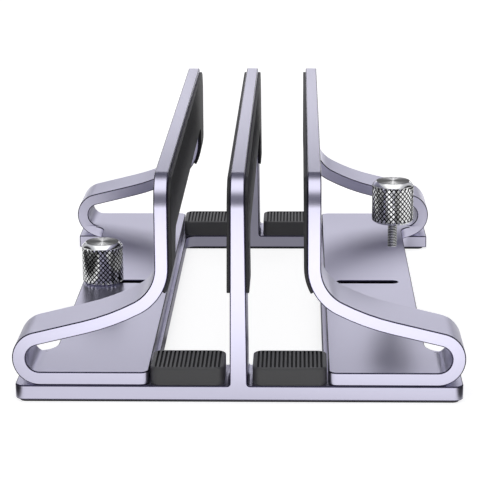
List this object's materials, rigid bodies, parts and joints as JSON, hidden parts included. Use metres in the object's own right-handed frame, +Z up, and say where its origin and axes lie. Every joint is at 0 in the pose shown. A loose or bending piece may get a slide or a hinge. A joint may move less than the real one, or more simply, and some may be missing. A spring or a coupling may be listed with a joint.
{
  "type": "vertical laptop stand",
  "caption": "Adjustable vertical laptop stand of aluminium plate: base with a centre wall, sliding bent wings, soft liners, ribbed seat pads and knurled thumb screws.",
  "frame": {"origin": "middle of the footprint, on the surface that the stand rests on", "axes": "+X to the right, +Y to the back along the slots, +Z up"},
  "size_m": [0.1648, 0.24, 0.0839],
  "materials": {
    "anodised_aluminium": "fine blasted and anodised, pale lavender grey",
    "black_rubber": "matt black silicone rubber",
    "bright_knurled_steel": "bright plated, diamond knurled, turned top",
    "steel_thread": "bright rolled thread"
  },
  "bodies": {
    "base": {"base_frame": "anodised_aluminium", "left_centre_liner": "black_rubber", "right_centre_liner": "black_rubber", "left_front_seat_pad": "black_rubber", "right_front_seat_pad": "black_rubber", "left_rear_seat_pad": "black_rubber", "right_rear_seat_pad": "black_rubber", "front_foot_strip": "black_rubber", "rear_foot_strip": "black_rubber"},
    "left_wing": {"left_wing": "anodised_aluminium", "left_wing_liner": "black_rubber"},
    "right_wing": {"right_wing": "anodised_aluminium", "right_wing_liner": "black_rubber"},
    "left_screw": {"left_screw_stud": "steel_thread"},
    "left_knob": {"left_screw_knob": "bright_knurled_steel"},
    "right_screw": {"right_screw_stud": "steel_thread"},
    "right_knob": {"right_screw_knob": "bright_knurled_steel"}
  },
  "joints": [
    {"name": "left_wing_slide", "type": "slide", "parent": "base", "child": "left_wing", "axis": [-1, 0, 0], "range_m": [0, 0.0205]},
    {"name": "right_wing_slide", "type": "slide", "parent": "base", "child": "right_wing", "axis": [1, 0, 0], "range_m": [0, 0.0205]},
    {"name": "left_screw_rise", "type": "slide", "parent": "base", "child": "left_screw", "axis": [0, 0, 1], "range_m": [0, 0.0049]},
    {"name": "left_screw_turn", "type": "hinge", "parent": "left_screw", "child": "left_knob", "pos_m": [-0.061, 0, 0.0115], "axis": [0, 0, 1], "range_deg": [0, 2520]},
    {"name": "right_screw_drop", "type": "slide", "parent": "base", "child": "right_screw", "axis": [0, 0, 1], "range_m": [-0.0264, 0]},
    {"name": "right_screw_turn", "type": "hinge", "parent": "right_screw", "child": "right_knob", "pos_m": [0.061, 0, 0.0379], "axis": [0, 0, 1], "continuous": true}
  ],
  "couplings": [
    {"joint": "left_screw_turn", "follows": "left_screw_rise", "rad_per_m": 8976}
  ]
}
